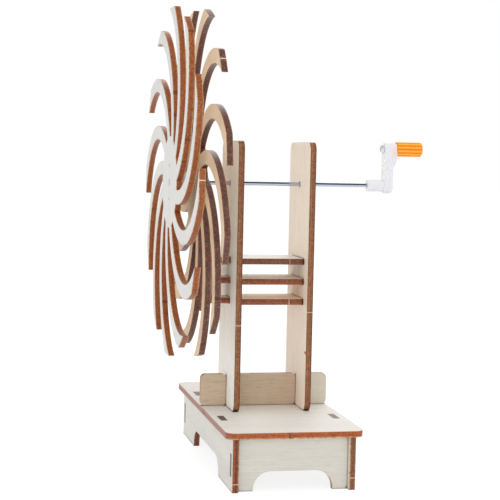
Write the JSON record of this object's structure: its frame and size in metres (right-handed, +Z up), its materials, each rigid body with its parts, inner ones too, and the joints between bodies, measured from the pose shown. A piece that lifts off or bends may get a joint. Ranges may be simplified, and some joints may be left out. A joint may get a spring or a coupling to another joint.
{
  "type": "hand-cranked spiral wheel demonstrator",
  "caption": "Plywood stand with a crank on a steel axle that spins a wheel of curved arms in front of a fixed mirrored one.",
  "frame": {"origin": "centre of the base's footprint, on the surface that it stands on", "axes": "+X along the axle towards the crank, +Y along the base's long side, +Z up"},
  "size_m": [0.1321, 0.1746, 0.2296],
  "materials": {
    "birch_ply": "bare laser-cut plywood, pale faces and burnt brown edges",
    "axle_steel": "bright drawn",
    "white_plastic": "satin",
    "crank_plastic": "slightly translucent white",
    "grip_plastic": "glossy orange",
    "screw_steel": "bright plated"
  },
  "bodies": {
    "stand": {"base_top": "birch_ply", "base_wall_left": "birch_ply", "base_wall_right": "birch_ply", "base_wall_front": "birch_ply", "base_wall_rear": "birch_ply", "cross_panel": "birch_ply", "upright_left": "birch_ply", "upright_right": "birch_ply", "slat_top": "birch_ply", "slat_middle": "birch_ply", "slat_bottom": "birch_ply", "slat_lock": "birch_ply", "wheel_bracket": "birch_ply", "rear_wheel": "birch_ply"},
    "spinner": {"axle": "axle_steel", "front_wheel": "birch_ply", "front_hub": "white_plastic", "crank_arm": "crank_plastic"},
    "grip": {"crank_grip": "grip_plastic", "crank_screw": "screw_steel"}
  },
  "joints": [
    {"name": "crank_turn", "type": "hinge", "parent": "stand", "child": "spinner", "pos_m": [0, 0, 0.1423], "axis": [1, 0, 0], "continuous": true},
    {"name": "grip_spin", "type": "hinge", "parent": "spinner", "child": "grip", "pos_m": [0.0612, 0, 0.1613], "axis": [1, 0, 0], "continuous": true}
  ]
}
